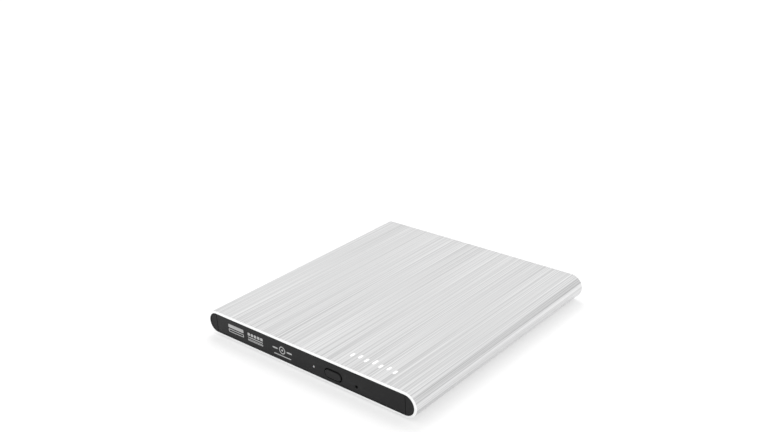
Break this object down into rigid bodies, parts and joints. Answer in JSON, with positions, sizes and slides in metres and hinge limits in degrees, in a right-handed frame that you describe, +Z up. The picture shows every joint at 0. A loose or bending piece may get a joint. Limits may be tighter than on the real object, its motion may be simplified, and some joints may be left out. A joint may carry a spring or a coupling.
{
  "type": "slim external optical drive",
  "caption": "Slim tray-load optical disc drive in a rounded brushed-aluminium sleeve with a matte black front, sliding disc tray and rear data port.",
  "frame": {"origin": "on the desk plane, under the centre of the sleeve", "axes": "+Z up, -Y out of the front where the tray opens, +Y to the rear port, +X to the right seen from the front"},
  "size_m": [0.141, 0.146, 0.0144],
  "materials": {
    "sleeve_aluminium": "brushed front to back, bright cut rim",
    "black_plastic": "fine matte",
    "foot_rubber": "matte",
    "screw_steel": "satin",
    "zinc_sheet": "satin zinc plate",
    "dark_plastic": "satin",
    "board_green": "solder mask gloss",
    "board_blue": "solder mask gloss",
    "chip_black": "moulded epoxy",
    "nickel_shell": "nickel plate",
    "flex_amber": "polyimide film",
    "cast_alloy": "fine cast",
    "bearing_bronze": "sintered",
    "core_steel": "dark laminated",
    "copper_coil": "enamelled winding",
    "ground_steel": "ground",
    "light_pipe_clear": "clear",
    "natural_plastic": "natural acetal",
    "lens_black": "matte",
    "lens_glass": "coated",
    "grip_rubber": "soft matte"
  },
  "bodies": {
    "enclosure": {"sleeve": "sleeve_aluminium", "rear_panel": "black_plastic", "side_frame_left": "black_plastic", "side_frame_right": "black_plastic", "feet": "foot_rubber", "rear_screws": "screw_steel", "chassis_pan": "zinc_sheet", "chassis_cover": "zinc_sheet", "cover_screws": "screw_steel", "guide_left": "dark_plastic", "guide_right": "dark_plastic", "main_board": "board_green", "main_board_chips": "chip_black", "drive_connector": "dark_plastic", "bridge_board": "board_blue", "bridge_chips": "chip_black", "bridge_connector": "dark_plastic", "usb_socket": "nickel_shell", "board_screws": "screw_steel", "latch_post": "screw_steel", "flex_cable": "flex_amber"},
    "drawer": {"tray": "black_plastic", "bezel": "black_plastic", "tray_undercover": "zinc_sheet", "traverse_plate": "cast_alloy", "traverse_cover": "dark_plastic", "dampers": "foot_rubber", "traverse_screws": "screw_steel", "spindle_bearing": "bearing_bronze", "stator_core": "core_steel", "stator_coils": "copper_coil", "guide_rods": "ground_steel", "sled_motor": "nickel_shell", "light_pipe": "light_pipe_clear", "front_board": "board_green", "tact_switch": "dark_plastic", "solenoid": "core_steel", "latch_pivot_pin": "screw_steel", "ejector_spring": "ground_steel", "flex_connector": "natural_plastic"},
    "slide_left": {"rail_left": "zinc_sheet"},
    "slide_right": {"rail_right": "zinc_sheet"},
    "button": {"eject_button": "black_plastic", "switch_plunger": "natural_plastic"},
    "latch": {"latch_lever": "natural_plastic"},
    "solenoid_rod": {"solenoid_plunger": "ground_steel"},
    "ejector": {"ejector_plunger": "natural_plastic"},
    "spindle": {"rotor_cup": "zinc_sheet", "rotor_magnet": "core_steel", "turntable": "dark_plastic", "friction_ring": "grip_rubber", "spindle_shaft": "ground_steel"},
    "grip_1": {"claw_1": "natural_plastic"},
    "grip_2": {"claw_2": "natural_plastic"},
    "grip_3": {"claw_3": "natural_plastic"},
    "pickup": {"pickup_body": "cast_alloy", "pickup_nut": "natural_plastic"},
    "lens": {"lens_holder": "lens_black", "objective_lens": "lens_glass"},
    "screw": {"lead_screw": "ground_steel"}
  },
  "joints": [
    {"name": "tray_slide", "type": "slide", "parent": "enclosure", "child": "drawer", "axis": [0, -1, 0], "range_m": [0, 0.118], "deforming": ["flex_cable"]},
    {"name": "rail_left_slide", "type": "slide", "parent": "enclosure", "child": "slide_left", "axis": [0, -1, 0], "range_m": [0, 0.059]},
    {"name": "rail_right_slide", "type": "slide", "parent": "enclosure", "child": "slide_right", "axis": [0, -1, 0], "range_m": [0, 0.059]},
    {"name": "button_press", "type": "slide", "parent": "drawer", "child": "button", "axis": [0, 1, 0], "range_m": [0, 0.0005]},
    {"name": "solenoid_slide", "type": "slide", "parent": "drawer", "child": "solenoid_rod", "axis": [0, -1, 0], "range_m": [0, 0.0014]},
    {"name": "latch_pivot", "type": "hinge", "parent": "drawer", "child": "latch", "pos_m": [0.047, -0.05, 0.0063], "axis": [0, 0, 1], "range_deg": [0, 10]},
    {"name": "ejector_slide", "type": "slide", "parent": "drawer", "child": "ejector", "axis": [0, 1, 0], "range_m": [0, 0.01], "deforming": ["ejector_spring"]},
    {"name": "spindle_spin", "type": "hinge", "parent": "drawer", "child": "spindle", "pos_m": [0, -0.0077, 0.008], "axis": [0, 0, 1], "continuous": true},
    {"name": "grip_1_slide", "type": "slide", "parent": "spindle", "child": "grip_1", "axis": [-0.2588, -0.9659, 0], "range_m": [-0.0008, 0]},
    {"name": "grip_2_slide", "type": "slide", "parent": "spindle", "child": "grip_2", "axis": [0.9659, 0.2588, 0], "range_m": [-0.0008, 0]},
    {"name": "grip_3_slide", "type": "slide", "parent": "spindle", "child": "grip_3", "axis": [-0.7071, 0.7071, 0], "range_m": [-0.0008, 0]},
    {"name": "pickup_slide", "type": "slide", "parent": "drawer", "child": "pickup", "axis": [-0.7071, -0.7071, 0], "range_m": [0, 0.0335]},
    {"name": "lens_focus", "type": "slide", "parent": "pickup", "child": "lens", "axis": [0, 0, 1], "range_m": [-0.0003, 0.0003]},
    {"name": "screw_spin", "type": "hinge", "parent": "drawer", "child": "screw", "pos_m": [-0.03536, -0.01477, 0.0065], "axis": [-0.7071, -0.7071, 0], "range_deg": [-4030, 10]}
  ],
  "couplings": [
    {"joint": "rail_left_slide", "follows": "tray_slide", "ratio": 0.5},
    {"joint": "rail_right_slide", "follows": "tray_slide", "ratio": 0.5},
    {"joint": "latch_pivot", "follows": "solenoid_slide", "rad_per_m": 124.6},
    {"joint": "ejector_slide", "follows": "tray_slide", "ratio": 0.0847},
    {"joint": "screw_spin", "follows": "pickup_slide", "rad_per_m": -2094.4}
  ]
}
